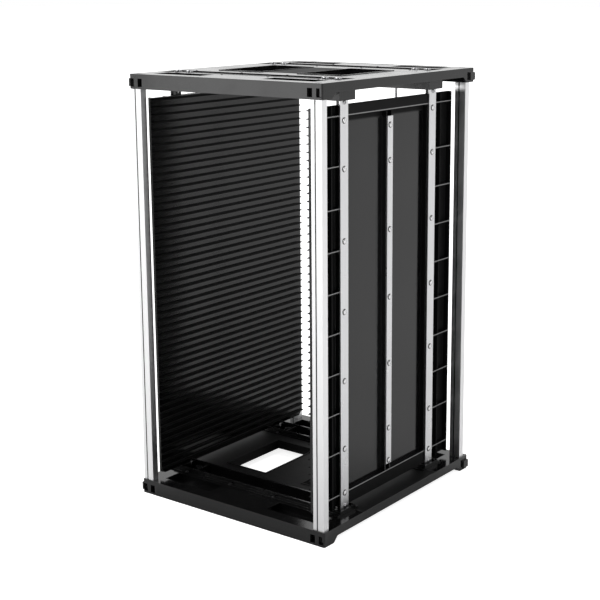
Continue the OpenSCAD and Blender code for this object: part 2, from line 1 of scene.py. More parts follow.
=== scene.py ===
"""Looks, lights and camera for the adjustable circuit board magazine rack.

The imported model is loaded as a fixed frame. Every class below stands for one
sub-assembly: it holds its sizes in metres as dataclass fields, builds the
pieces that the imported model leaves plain, and gives each part its finish.
X runs across the open front, Y from the front to the rear, and Z is up.
"""

from __future__ import annotations

import logging
import math
import random
from dataclasses import dataclass, field
from enum import Enum
from functools import reduce
from typing import Iterable, Sequence

import bmesh
import bpy
from mathutils import Euler, Matrix, Vector


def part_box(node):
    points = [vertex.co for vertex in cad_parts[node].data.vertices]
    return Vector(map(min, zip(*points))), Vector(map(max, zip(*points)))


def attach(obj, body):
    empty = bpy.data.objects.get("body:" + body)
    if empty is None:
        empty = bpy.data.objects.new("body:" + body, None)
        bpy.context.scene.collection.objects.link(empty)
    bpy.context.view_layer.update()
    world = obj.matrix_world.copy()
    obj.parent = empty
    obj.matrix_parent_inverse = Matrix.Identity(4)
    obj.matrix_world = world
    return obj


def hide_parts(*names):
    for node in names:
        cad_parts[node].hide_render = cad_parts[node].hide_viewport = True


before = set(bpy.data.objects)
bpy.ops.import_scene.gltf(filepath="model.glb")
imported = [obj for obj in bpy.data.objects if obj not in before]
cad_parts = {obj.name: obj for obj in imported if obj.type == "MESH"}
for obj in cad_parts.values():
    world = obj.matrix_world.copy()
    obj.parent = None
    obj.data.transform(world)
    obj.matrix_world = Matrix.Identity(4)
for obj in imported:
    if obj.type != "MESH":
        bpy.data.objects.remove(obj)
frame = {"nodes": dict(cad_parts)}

LOG = logging.getLogger("magazine_rack")
MM = 0.001
WHITE = (1.0, 1.0, 1.0, 1.0)
Pair = tuple[float, float]
Triple = tuple[float, float, float]
Socket = bpy.types.NodeSocket
Inputs = dict[str | int, object]


class Side(Enum):
    """The two card walls, by how they are held."""

    FIXED = "fixed"
    SLIDING = "sliding"

    @property
    def body(self) -> str:
        """Name of the rigid body that the wall belongs to."""
        return "rack" if self is Side.FIXED else "sliding_side"

    @property
    def outward(self) -> float:
        """Direction along X from the rib tips to the flats."""
        return 1.0 if self is Side.FIXED else -1.0


class Recess(Enum):
    """Drives that a screw head can have."""

    NONE = "none"
    HEXAGON = "hexagon"
    CROSS = "cross"


# -------------------------------------------------------------- node graphs


class NodeGraph:
    """A node tree, with short calls that add, set and link its nodes."""

    def __init__(self, tree: bpy.types.NodeTree) -> None:
        """Keeps the tree."""
        self.tree = tree

    def put(self, place: Socket, value: object) -> None:
        """Links a socket to the place, or sets the place where the value is plain."""
        if isinstance(value, Socket):
            self.tree.links.new(value, place)
        else:
            place.default_value = value

    def feed(self, node: bpy.types.Node, inputs: Inputs) -> bpy.types.Node:
        """Sets or links inputs of a node.

        Args:
            node: The node.
            inputs: Values or sockets for its inputs, by name or number.

        Returns:
            The same node.
        """
        for key, value in inputs.items():
            self.put(node.inputs[key], value)
        return node

    def node(self, kind: str, inputs: Inputs | None = None, **values: object) -> bpy.types.Node:
        """Adds a node.

        Args:
            kind: Blender's identifier of the node.
            inputs: Values or sockets for its inputs, by name or number.
            **values: Properties of the node.

        Returns:
            The new node.
        """
        made = self.tree.nodes.new(kind)
        for key, value in values.items():
            setattr(made, key, value)
        return self.feed(made, inputs or {})

    def math(self, operation: str, *terms: object) -> Socket:
        """Adds one step of arithmetic on numbers or sockets."""
        return self.node("ShaderNodeMath", dict(enumerate(terms)), operation=operation).outputs[0]

    def spread(
        self,
        value: Socket,
        low: float,
        high: float,
        start: float = 0.3,
        end: float = 0.7,
        kind: str = "LINEAR",
    ) -> Socket:
        """Maps a number from the range start to end onto low to high, and holds it there."""
        inputs = {"Value": value, "From Min": start, "From Max": end, "To Min": low, "To Max": high}
        return self.node("ShaderNodeMapRange", inputs, interpolation_type=kind).outputs[0]


class ShaderGraph(NodeGraph):
    """The nodes of a material round one Principled shader."""

    def __init__(self, name: str) -> None:
        """Starts a material.

        Args:
            name: Name of the material.
        """
        self.material = bpy.data.materials.new(name)
        self.material.use_nodes = True
        super().__init__(self.material.node_tree)
        self.tree.nodes.clear()
        self.shader = self.node("ShaderNodeBsdfPrincipled")
        self.node("ShaderNodeOutputMaterial", {"Surface": self.shader.outputs[0]})
        self.coords = self.node("ShaderNodeTexCoord").outputs["Object"]

    def noise(self, scale: float, detail: float, rough: float, stretch: Triple = (1, 1, 1)) -> Socket:
        """Fractal noise on the object's own coordinates.

        Args:
            scale: Features per metre.
            detail: Octaves.
            rough: Weight of the finer octaves.
            stretch: Factor along each axis.

        Returns:
            The noise as a number from 0 to 1.
        """
        mapped = self.node("ShaderNodeMapping", {"Vector": self.coords, "Scale": stretch}).outputs[0]
        inputs = {"Vector": mapped, "Scale": scale, "Detail": detail, "Roughness": rough}
        return self.node("ShaderNodeTexNoise", inputs).outputs[0]

    def tint(self, factor: Socket, first: Triple | Socket, second: Triple | Socket) -> Socket:
        """Blends two colours.

        Args:
            factor: 0 for the first colour and 1 for the second one.
            first: A colour, or the socket that carries it.
            second: A colour, or the socket that carries it.

        Returns:
            The blended colour.
        """
        a, b = (end if isinstance(end, Socket) else (*end, 1.0) for end in (first, second))
        made = self.node("ShaderNodeMix", {"Factor": factor, "A": a, "B": b}, data_type="RGBA")
        return made.outputs["Result"]

    def bump(self, height: Socket, depth: float, normal: Socket) -> Socket:
        """Lays a height, of which 1 stands for depth metres, over a normal."""
        inputs = {"Height": height, "Distance": depth, "Strength": 1.0, "Normal": normal}
        return self.node("ShaderNodeBump", inputs).outputs[0]

    def along(self, axis: int) -> Socket:
        """Distance from the origin along X, Y or Z in metres."""
        return self.node("ShaderNodeSeparateXYZ", {0: self.coords}).outputs[axis]

    def band(self, value: Socket, centre: float, half: float, soft: float = 0.0006) -> Socket:
        """Marks the values within half of a centre, with a faded edge of width soft."""
        away = self.math("ABSOLUTE", self.math("SUBTRACT", value, centre))
        return self.spread(away, 1.0, 0.0, half, half + soft)

    def comb(self, value: Socket, step: float, place: float, half: float, soft: float) -> Socket:
        """Marks bands that repeat.

        Args:
            value: The value.
            step: Distance from one band to the next.
            place: Middle of one of the bands.
            half: Half of a band's width.
            soft: Width of its faded edge.

        Returns:
            1 inside the bands and 0 outside.
        """
        turns = self.math("MULTIPLY_ADD", value, 1.0 / step, 0.5 - place / step)
        away = self.math("ABSOLUTE", self.math("SUBTRACT", self.math("FRACT", turns), 0.5))
        return self.spread(away, 1.0, 0.0, half / step, (half + soft) / step)

    def between(self, value: Socket, ends: Pair) -> Socket:
        """Marks the values between two ends."""
        return self.both(self.math("GREATER_THAN", value, ends[0]), self.math("LESS_THAN", value, ends[1]))

    def beyond(self, value: Socket, ends: Pair) -> Socket:
        """Marks the values that are not between two ends."""
        return self.either(self.math("LESS_THAN", value, ends[0]), self.math("GREATER_THAN", value, ends[1]))

    def either(self, *masks: Socket) -> Socket:
        """Joins masks, so that a point in any of them is marked."""
        return reduce(lambda a, b: self.math("MAXIMUM", a, b), masks)

    def both(self, *masks: Socket) -> Socket:
        """Crosses masks, so that only a point in all of them is marked."""
        return reduce(lambda a, b: self.math("MULTIPLY", a, b), masks)

    def soft_edges(self, radius: float) -> Socket:
        """Normal that rounds a sharp edge to a radius in metres."""
        return self.node("ShaderNodeBevel", {"Radius": radius}, samples=4).outputs[0]


# ----------------------------------------------------------------- finishes


@dataclass(frozen=True)
class MouldedPlastic:
    """A black antistatic moulding with a fine eroded grain.

    Attributes:
        name: Name of the material.
        colour: Base colour.
        worn: Colour of rubbed patches.
        roughness: Roughness where the mould was polished.
        grain: Added roughness where the grain is coarse.
        grain_depth: Depth of the grain in metres.
        flow_depth: Depth of the slow sink and flow marks in metres.
        edge: Radius that the moulded edges show, in metres.
        specular: Level of the surface reflection.
        dull: Level of the surface reflection in the matt zones.
        dull_rough: Added roughness in the matt zones.
        grain_noise: Features per metre, octaves and weight of the finer ones, for the grain.
        patch_noise: The same for the patches of wear.
        flow_noise: The same for the flow marks.
        highlight_colour: Colour of the painted highlights along edges.
    """

    name: str
    colour: Triple = (0.012, 0.012, 0.013)
    worn: Triple = (0.022, 0.022, 0.023)
    roughness: float = 0.3
    grain: float = 0.14
    grain_depth: float = 0.00002
    flow_depth: float = 0.0004
    edge: float = 0.0005
    specular: float = 0.5
    dull: float = 0.12
    dull_rough: float = 0.45
    grain_noise: Triple = (2600.0, 3.0, 0.6)
    patch_noise: Triple = (26.0, 4.0, 0.6)
    flow_noise: Triple = (9.0, 2.0, 0.45)
    highlight_colour: Triple = (0.3, 0.3, 0.3)

    def painted_highlights(self, g: ShaderGraph) -> Socket | None:
        """Marks the edges where a highlight is painted, if there are any."""
        return None

    def matt_zones(self, g: ShaderGraph) -> Socket | None:
        """Marks the parts with a matt texture, if there are any."""
        return None

    def build(self) -> bpy.types.Material:
        """Builds the material.

        Returns:
            The material, ready for a slot.
        """
        g = ShaderGraph(self.name)
        grain = g.noise(*self.grain_noise)
        patches = g.noise(*self.patch_noise)
        flow = g.noise(*self.flow_noise)
        colour = g.tint(g.spread(patches, 0.0, 1.0), self.colour, self.worn)
        # Painted highlights: the marked edges are tinted lighter, as if they caught the light.
        edges = self.painted_highlights(g)
        if edges is not None:
            colour = g.tint(edges, colour, self.highlight_colour)
        rough = g.spread(patches, self.roughness, self.roughness + self.grain)
        specular: float | Socket = self.specular
        zones = self.matt_zones(g)
        if zones is not None:
            rough = g.math("ADD", rough, g.math("MULTIPLY", zones, self.dull_rough))
            specular = g.spread(zones, self.specular, self.dull, 0.0, 1.0)
        normal = g.bump(flow, self.flow_depth, g.soft_edges(self.edge))
        normal = g.bump(grain, self.grain_depth, normal)
        g.feed(
            g.shader,
            {"Base Color": colour, "Roughness": rough, "Specular IOR Level": specular, "Normal": normal},
        )
        return g.material


@dataclass(frozen=True)
class FrameMoulding(MouldedPlastic):
    """The moulding of the end frames, with a matt bridge between the openings.

    Attributes:
        bridge: Half of the bridge's width and half of its length, in metres.
        plates: Half of the width and length of the matt plates of the lower frame.
        plate_fade: Width of the faded edge of those.
        low: Height that only the lower frame is below.
    """

    bridge: Pair = (0.0318, 0.0562)
    plates: Pair = (0.1575, 0.0845)
    plate_fade: float = 0.008
    low: float = 0.03

    def matt_zones(self, g: ShaderGraph) -> Socket:
        """Marks the bridge, and the plates of the lower frame.

        Args:
            g: The material's graph.

        Returns:
            A mask of the matt zones.
        """
        x, y = g.along(0), g.along(1)
        bridge = g.both(g.band(x, 0.0, self.bridge[0]), g.band(y, 0.0, self.bridge[1]))
        plates = g.both(g.band(x, 0.0, self.plates[0]), g.band(y, 0.0, self.plates[1], self.plate_fade))
        return g.either(bridge, g.both(plates, g.math("LESS_THAN", g.along(2), self.low)))


@dataclass(frozen=True)
class WallMoulding(MouldedPlastic):
    """The moulding of the card walls, matt in the framework round the sunk panel, with painted highlights
    along the edges of its ribs and bands.

    Attributes:
        outer_faces: Place along X of the outer faces of the two webs, in metres.
        top_band: Middle, half width and faded edge of the matt top band.
        low_band: Middle, half width and faded edge of the matt bottom band.
        band_half: Half of the length of those bands.
        seats: Middle and half width of the matt lines beside the outer flats.
        grids: Middle and half width of the matt end grids.
        board_faces: Places along X between which only the board ribs lie.
        board_rib: Half of a board rib's thickness, and the faded edge beside it.
        rib_first: Height of the lowest board rib.
        rib_pitch: Distance between two board ribs.
        rib_step: Distance between two level ribs of an end grid.
        rib_place: Height of the edge of one of them.
        highlight_line: Half of the width of a painted highlight along an edge, and its faded edge.
        rib_edges: Place along X beyond which the edges get painted highlights, on both walls.
        grid_reach: Where the end grids start and end along Y.
        grid_span: Middle and half of the height over which the ribs stand.
        band_edges: Heights of the painted highlights along the edges of the top and bottom bands.
    """

    outer_faces: Pair = (-0.1383, 0.1283)
    top_band: Triple = (0.539, 0.0106, 0.003)
    low_band: Triple = (0.0352, 0.0102, 0.001)
    band_half: float = 0.0922
    seats: Pair = (0.0912, 0.0022)
    grids: Pair = (0.1372, 0.0258)
    board_faces: Pair = (-0.1354, 0.1254)
    board_rib: Pair = (0.00122, 0.000183)
    rib_first: float = 0.035
    rib_pitch: float = 0.01
    rib_step: float = 0.053
    rib_place: float = 0.3145
    highlight_line: Pair = (0.0005, 0.0002)
    rib_edges: Pair = (-0.1446, 0.1346)
    grid_reach: Pair = (0.1101, 0.1534)
    grid_span: Pair = (0.2875, 0.19)
    band_edges: Pair = (0.0445, 0.5355)

    def painted_highlights(self, g: ShaderGraph) -> Socket:
        """Marks the outer edges of the level ribs in the end grids, and of the bands, where highlights are
        painted.

        Args:
            g: The material's graph.

        Returns:
            A mask of the edges with painted highlights.
        """
        y, z = g.math("ABSOLUTE", g.along(1)), g.along(2)
        ribs = g.both(
            g.comb(z, self.rib_step, self.rib_place, *self.highlight_line),
            g.band(z, *self.grid_span),
            g.between(y, self.grid_reach),
        )
        bands = [g.band(z, place, *self.highlight_line) for place in self.band_edges]
        return g.both(g.beyond(g.along(0), self.rib_edges), g.either(ribs, *bands))

    def matt_zones(self, g: ShaderGraph) -> Socket:
        """Marks the board ribs, and the framework on the outer side of both walls.

        Args:
            g: The material's graph.

        Returns:
            A mask of the matt zones.
        """
        x, y, z = g.along(0), g.math("ABSOLUTE", g.along(1)), g.along(2)
        ribs = g.both(
            g.comb(z, self.rib_pitch, self.rib_first, *self.board_rib), g.between(x, self.board_faces)
        )
        middle = g.band(y, 0.0, self.band_half)
        framework = g.either(
            g.both(middle, g.band(z, *self.top_band)),
            g.both(middle, g.band(z, *self.low_band)),
            g.band(y, *self.seats),
            g.band(y, *self.grids),
        )
        return g.either(ribs, g.both(g.beyond(x, self.outer_faces), framework))


@dataclass(frozen=True)
class SatinMetal:
    """A metal with fine drawn lines along one axis.

    Attributes:
        name: Name of the material.
        colour: Base colour.
        dull: Colour of its darker lines and patches.
        roughness: Lowest roughness.
        spread: Added roughness in the duller patches.
        lines: Stretch of the drawn lines along X, Y and Z.
        line_depth: Depth of the lines in metres.
        edge: Radius that its edges show, in metres.
        metallic: How much of the surface is bare metal.
        line_noise: Features per metre, octaves and weight of the finer ones, for the lines.
        patch_noise: The same for the duller patches.
    """

    name: str
    colour: Triple = (0.8, 0.8, 0.81)
    dull: Triple = (0.66, 0.66, 0.67)
    roughness: float = 0.32
    spread: float = 0.12
    lines: Triple = (1.0, 1.0, 0.01)
    line_depth: float = 0.000006
    edge: float = 0.0003
    metallic: float = 1.0
    line_noise: Triple = (1800.0, 3.0, 0.6)
    patch_noise: Triple = (34.0, 3.0, 0.55)

    def tone(self, g: ShaderGraph, colour: Socket) -> Socket:
        """Gives the final colour of the metal."""
        return colour

    def build(self) -> bpy.types.Material:
        """Builds the material.

        Returns:
            The material, ready for a slot.
        """
        g = ShaderGraph(self.name)
        drawn = g.noise(*self.line_noise, self.lines)
        patches = g.noise(*self.patch_noise)
        colour = self.tone(g, g.tint(g.spread(drawn, 0.0, 1.0), self.dull, self.colour))
        rough = g.spread(patches, self.roughness, self.roughness + self.spread)
        normal = g.bump(drawn, self.line_depth, g.soft_edges(self.edge))
        g.feed(
            g.shader, {"Base Color": colour, "Metallic": self.metallic, "Roughness": rough, "Normal": normal}
        )
        return g.material


@dataclass(frozen=True)
class HeadPlating(SatinMetal):
    """Plating on a head, with a painted shade line round its rim.

    Attributes:
        rim: Where the painted shade line starts and where it is full, as shares of the way down the head.
        rim_shade: Colour of the painted shade line.
    """

    rim: Pair = (0.44, 0.58)
    rim_shade: Triple = (0.02, 0.02, 0.02)

    def tone(self, g: ShaderGraph, colour: Socket) -> Socket:
        """Paints a shade line on the rim."""
        down = g.node("ShaderNodeAttribute", attribute_name="rim").outputs["Fac"]
        # Painted shade: the lower part of the head is tinted dark, where shade falls at its foot.
        return g.tint(g.spread(down, 0.0, 1.0, *self.rim), colour, self.rim_shade)


@dataclass(frozen=True)
class GroovedPost(SatinMetal):
    """The anodised posts, with painted shade in the groove down the front face of each.

    Attributes:
        groove: Places of the grooves along X: their middle and half of their spread, in metres.
        groove_line: Half of a groove's width, and its faded edge.
        faces: Places along Y of the grooved faces.
        face_half: Distance from those within which a groove gets painted shade.
        shade: Colour of the painted shade inside the grooves.
    """

    groove: Pair = (-0.00195, 0.14765)
    groove_line: Pair = (0.0008, 0.0002)
    faces: Pair = (-0.1724, 0.155)
    face_half: float = 0.0022
    shade: Triple = (0.02, 0.02, 0.02)

    def tone(self, g: ShaderGraph, colour: Socket) -> Socket:
        """Paints shade inside the grooves.

        Args:
            g: The material's graph.
            colour: Colour of the bare metal.

        Returns:
            The colour with painted shade in its grooves.
        """
        x = g.math("ABSOLUTE", g.math("SUBTRACT", g.along(0), self.groove[0]))
        y = g.along(1)
        faces = g.either(*(g.band(y, face, self.face_half) for face in self.faces))
        # Painted shade: the metal inside the grooves is tinted dark.
        return g.tint(g.both(g.band(x, self.groove[1], *self.groove_line), faces), colour, self.shade)


@dataclass(frozen=True)
class Finishes:
    """Every finish of the rack, built once."""

    frame: MouldedPlastic = FrameMoulding(
        "frame_moulding", (0.003, 0.003, 0.0032), (0.006, 0.006, 0.0062), 0.09, 0.08
    )
    guide: MouldedPlastic = MouldedPlastic(
        "guide_moulding", (0.002, 0.002, 0.0021), (0.004, 0.004, 0.0042), 0.18, 0.12
    )
    wall: MouldedPlastic = WallMoulding(
        "wall_moulding", (0.002, 0.002, 0.0022), (0.004, 0.004, 0.0042), 0.1, 0.08
    )
    carrier: MouldedPlastic = MouldedPlastic(
        "carrier_moulding", (0.002, 0.002, 0.0021), (0.004, 0.004, 0.0042), 0.22, 0.12
    )
    post: SatinMetal = GroovedPost("anodised_post", (0.97, 0.97, 0.975), (0.92, 0.92, 0.925), 0.3, 0.08)
    flat: SatinMetal = SatinMetal("plated_flat", (0.86, 0.86, 0.87), (0.78, 0.78, 0.79), 0.26, 0.1)
    rivet: SatinMetal = HeadPlating(
        "rivet_plating", (0.9, 0.9, 0.91), (0.8, 0.8, 0.81), 0.14, 0.08, (1, 1, 1), 0.000003, 0.0001
    )
    zinc: SatinMetal = SatinMetal(
        "zinc_plating", (0.55, 0.55, 0.56), (0.45, 0.45, 0.46), 0.22, 0.12, (1, 1, 1), 0.000004, 0.0001
    )
    blackened: SatinMetal = SatinMetal(
        "blackened_steel", (0.05, 0.05, 0.052), (0.03, 0.03, 0.031), 0.26, 0.12, (1, 1, 1), 0.000004, 0.0001
    )
    rod: SatinMetal = SatinMetal("ground_rod", (0.78, 0.78, 0.79), (0.7, 0.7, 0.71), 0.2, 0.08)


class Paint:
    """Builds each material when it is first asked for."""

    def __init__(self, finishes: Finishes) -> None:
        """Keeps the finishes, with no material made yet."""
        self.finishes = finishes
        self.made: dict[str, bpy.types.Material] = {}

    def get(self, kind: str) -> bpy.types.Material:
        """Gives the material of a finish.

        Args:
            kind: Name of the field in Finishes.

        Returns:
            The material, built once.
        """
        if kind not in self.made:
            self.made[kind] = getattr(self.finishes, kind).build()
        return self.made[kind]

    def dress(self, nodes: Iterable[str], kind: str) -> None:
        """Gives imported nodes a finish.

        Args:
            nodes: Names of the nodes.
            kind: Name of the field in Finishes.
        """
        for name in nodes:
            for place in frame["nodes"][name].material_slots:
                place.material = self.get(kind)
            LOG.info("dressed %s in %s", name, kind)


# ------------------------------------------------------------ geometry nodes


class PartTree(NodeGraph):
    """A Geometry Nodes tree that repeats one small part at given places."""

    def __init__(self, name: str) -> None:
        """Starts the tree with a geometry input for the places.

        Args:
            name: Name of the tree.
        """
        super().__init__(bpy.data.node_groups.new(name, "GeometryNodeTree"))
        for way in ("INPUT", "OUTPUT"):
            self.tree.interface.new_socket(name="Geometry", in_out=way, socket_type="NodeSocketGeometry")
        self.group_in = self.node("NodeGroupInput")
        self.sizes: dict[str, float] = {}

    def size(self, name: str, value: float) -> Socket:
        """Adds a named size to the tree's inputs.

        Args:
            name: Name that the input shows.
            value: Its value in metres, or a share.

        Returns:
            The socket that carries the size.
        """
        item = self.tree.interface.new_socket(name=name, in_out="INPUT", socket_type="NodeSocketFloat")
        self.sizes[item.identifier] = value
        return self.group_in.outputs[name]

    def vector(self, x: object, y: object, z: object) -> Socket:
        """Joins three numbers to a vector."""
        return self.node("ShaderNodeCombineXYZ", {"X": x, "Y": y, "Z": z}).outputs[0]

    def block(self, x: Socket, y: Socket, z: Socket) -> Socket:
        """Makes a block with the given sides."""
        return self.node("GeometryNodeMeshCube", {"Size": self.vector(x, y, z)}).outputs["Mesh"]

    def moved(self, part: Socket, x: object = 0.0, y: object = 0.0, z: object = 0.0) -> Socket:
        """Moves a part."""
        inputs = {"Geometry": part, "Translation": self.vector(x, y, z)}
        return self.node("GeometryNodeTransform", inputs).outputs[0]

    def joined(self, *parts: Socket) -> Socket:
        """Joins parts to one."""
        made = self.node("GeometryNodeJoinGeometry")
        for part in parts:
            self.put(made.inputs[0], part)
        return made.outputs[0]

    def curve(self, value: Socket, points: Sequence[Pair]) -> Socket:
        """Reads a number off a chain of straight lines.

        Args:
            value: Number from 0 to 1.
            points: Ends of the lines.

        Returns:
            The number read.
        """
        made = self.node("ShaderNodeFloatCurve", {"Value": value})
        line = made.mapping.curves[0]
        while len(line.points) > 2:
            line.points.remove(line.points[1])
        line.points[0].location, line.points[1].location = points[0], points[-1]
        for x, y in points[1:-1]:
            line.points.new(x, y)
        for point in line.points:
            point.handle_type = "VECTOR"
        made.mapping.update()
        return made.outputs[0]

    def turned(self, radius: Socket, height: Socket, profile: Sequence[Pair], steps: int = 24) -> Socket:
        """Turns a profile round Z into a closed shell.

        Args:
            radius: Largest radius.
            height: Largest height.
            profile: Pairs of radius and height as shares of those, from the pole down.
            steps: Faces round the axis.

        Returns:
            The shell's geometry.
        """
        rings = len(profile)
        grid = self.node("GeometryNodeMeshGrid", {"Vertices X": steps + 1, "Vertices Y": rings})
        index = self.node("GeometryNodeInputIndex").outputs[0]
        column = self.math("FLOOR", self.math("DIVIDE", self.math("ADD", index, 0.5), float(rings)))
        ring = self.math("SUBTRACT", index, self.math("MULTIPLY", column, float(rings)))
        share = self.math("DIVIDE", ring, float(rings - 1))
        knots = [k / (rings - 1) for k in range(rings)]
        across = self.curve(share, [(k, p[0]) for k, p in zip(knots, profile)])
        up = self.curve(share, [(k, p[1]) for k, p in zip(knots, profile)])
        turn = self.math("MULTIPLY", column, 2.0 * math.pi / steps)
        reach = self.math("MULTIPLY", across, radius)
        place = self.vector(
            self.math("MULTIPLY", reach, self.math("COSINE", turn)),
            self.math("MULTIPLY", reach, self.math("SINE", turn)),
            self.math("MULTIPLY", up, height),
        )
        inputs = {"Geometry": grid.outputs["Mesh"], "Name": "rim", "Value": share}
        marked = self.node("GeometryNodeStoreNamedAttribute", inputs).outputs[0]
        moved = self.node("GeometryNodeSetPosition", {"Geometry": marked, "Position": place}).outputs[0]
        return self.node("GeometryNodeMergeByDistance", {"Geometry": moved, "Distance": 1e-6}).outputs[0]

    def finish(self, part: Socket, material: bpy.types.Material) -> None:
        """Repeats the part at every place, makes it real and dresses it.

        Args:
            part: Geometry of one part.
            material: Its material.
        """
        turn = self.node("GeometryNodeInputNamedAttribute", {"Name": "turn"}, data_type="FLOAT_VECTOR")
        inputs = {
            "Points": self.group_in.outputs["Geometry"],
            "Instance": part,
            "Rotation": turn.outputs["Attribute"],
        }
        spread = self.node("GeometryNodeInstanceOnPoints", inputs).outputs[0]
        real = self.node("GeometryNodeRealizeInstances", {"Geometry": spread}).outputs[0]
        dressed = self.node("GeometryNodeSetMaterial", {"Geometry": real, "Material": material}).outputs[0]
        self.node("NodeGroupOutput", {"Geometry": dressed})

    def bake(self, name: str, seats: Sequence[Seat]) -> bpy.types.Object:
        """Runs the tree and keeps a plain mesh.

        Args:
            name: Name of the piece.
            seats: Where each copy stands.

        Returns:
            The finished piece, at the origin.
        """
        seed = bpy.data.meshes.new(name + "_seats")
        seed.from_pydata([tuple(seat.place) for seat in seats], [], [])
        turn = seed.attributes.new("turn", "FLOAT_VECTOR", "POINT")
        for k, seat in enumerate(seats):
            turn.data[k].vector = seat.turn
        holder = bpy.data.objects.new(name + "_seats", seed)
        bpy.context.scene.collection.objects.link(holder)
        modifier = holder.modifiers.new("parts", "NODES")
        modifier.node_group = self.tree
        for identifier, value in self.sizes.items():
            modifier[identifier] = value
        graph = bpy.context.evaluated_depsgraph_get()
        mesh = bpy.data.meshes.new_from_object(holder.evaluated_get(graph), depsgraph=graph)
        mesh.name = name
        holder.modifiers.remove(modifier)
        bpy.data.objects.remove(holder)
        Shells.face_out(mesh)
        piece = bpy.data.objects.new(name, mesh)
        bpy.context.scene.collection.objects.link(piece)
        LOG.info("made %s: %d copies, %d faces", name, len(seats), len(mesh.polygons))
        return piece


class Shells:
    """Mesh work that several sub-assemblies share."""

    @staticmethod
    def face_out(mesh: bpy.types.Mesh, smooth_below: float = 35.0) -> None:
        """Merges doubles, turns the faces outwards and shades round parts smooth.

        Args:
            mesh: The mesh.
            smooth_below: Edges flatter than this many degrees are smooth.
        """
        work = bmesh.new()
        work.from_mesh(mesh)
        bmesh.ops.remove_doubles(work, verts=work.verts, dist=1e-6)
        bmesh.ops.dissolve_degenerate(work, edges=work.edges, dist=1e-7)
        bmesh.ops.recalc_face_normals(work, faces=work.faces)
        limit = math.radians(smooth_below)
        for edge in work.edges:
            edge.smooth = len(edge.link_faces) == 2 and edge.calc_face_angle(0.0) < limit
        for face in work.faces:
            face.smooth = True
        work.to_mesh(mesh)
        work.free()
        mesh.update()

    @staticmethod
    def islands(node: str) -> list[list[Vector]]:
        """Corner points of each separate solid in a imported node.

        Args:
            node: Name of the node.

        Returns:
            One list of points for each solid.
        """
        work = bmesh.new()
        work.from_mesh(frame["nodes"][node].data)
        bmesh.ops.remove_doubles(work, verts=work.verts, dist=1e-6)
        left = set(work.verts)
        found: list[list[Vector]] = []
        while left:
            reach = [left.pop()]
            points: list[Vector] = []
            while reach:
                vert = reach.pop()
                points.append(vert.co.copy())
                for edge in vert.link_edges:
                    other = edge.other_vert(vert)
                    if other in left:
                        left.discard(other)
                        reach.append(other)
            found.append(points)
        work.free()
        return found


# ---------------------------------------------------------------- fasteners


# Radius of a drive as a share of the head's diameter
DRIVE_SHARES = {Recess.HEXAGON: 0.3, Recess.CROSS: 0.32}
# Height of the drive's cutter, half of which is in the head, as a share of the head's height
DRIVE_REACH = 1.1
# Width of a cross's arm as a share of the drive's radius
CROSS_ARM = 0.42
# A shank with a short point, from its top down, as shares of its radius and length
SHANK_PROFILE = ((0.0, 1.0), (1.0, 1.0), (1.0, 0.06), (0.85, 0.0), (0.0, 0.0))
# Faces round a shank
SHANK_STEPS = 16


@dataclass
class Seat:
    """Where one turned part stands.

    Attributes:
        place: Point on its axis where its head starts.
        turn: Rotation that brings +Z to the direction its head points in.
    """

    place: Vector
    turn: Euler

    @classmethod
    def of_solid(cls, points: Sequence[Vector], axis: int, height: float, spin: float) -> Seat:
        """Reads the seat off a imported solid.

        Args:
            points: Corner points of the solid.
            axis: 0, 1 or 2 for the solid's axis.
            height: Height of the head.
            spin: Angle of the drive round the axis, in radians.

        Returns:
            The seat, with the head at the solid's wider end.
        """
        low = Vector([min(p[k] for p in points) for k in range(3)])
        high = Vector([max(p[k] for p in points) for k in range(3)])
        centre = (low + high) / 2
        across = [k for k in range(3) if k != axis]
        widest = max(math.hypot(*(p[k] - centre[k] for k in across)) for p in points)
        near = 0.98 * widest
        rim = [p[axis] for p in points if math.hypot(*(p[k] - centre[k] for k in across)) > near]
        sign = 1.0 if sum(rim) / len(rim) > centre[axis] else -1.0
        place = centre.copy()
        place[axis] = (high if sign > 0 else low)[axis] - sign * height
        direction = Vector([sign if k == axis else 0.0 for k in range(3)])
        tilt = Vector((0.0, 0.0, 1.0)).rotation_difference(direction).to_matrix()
        return cls(place, (tilt @ Matrix.Rotation(spin, 3, "Z")).to_euler("XYZ"))


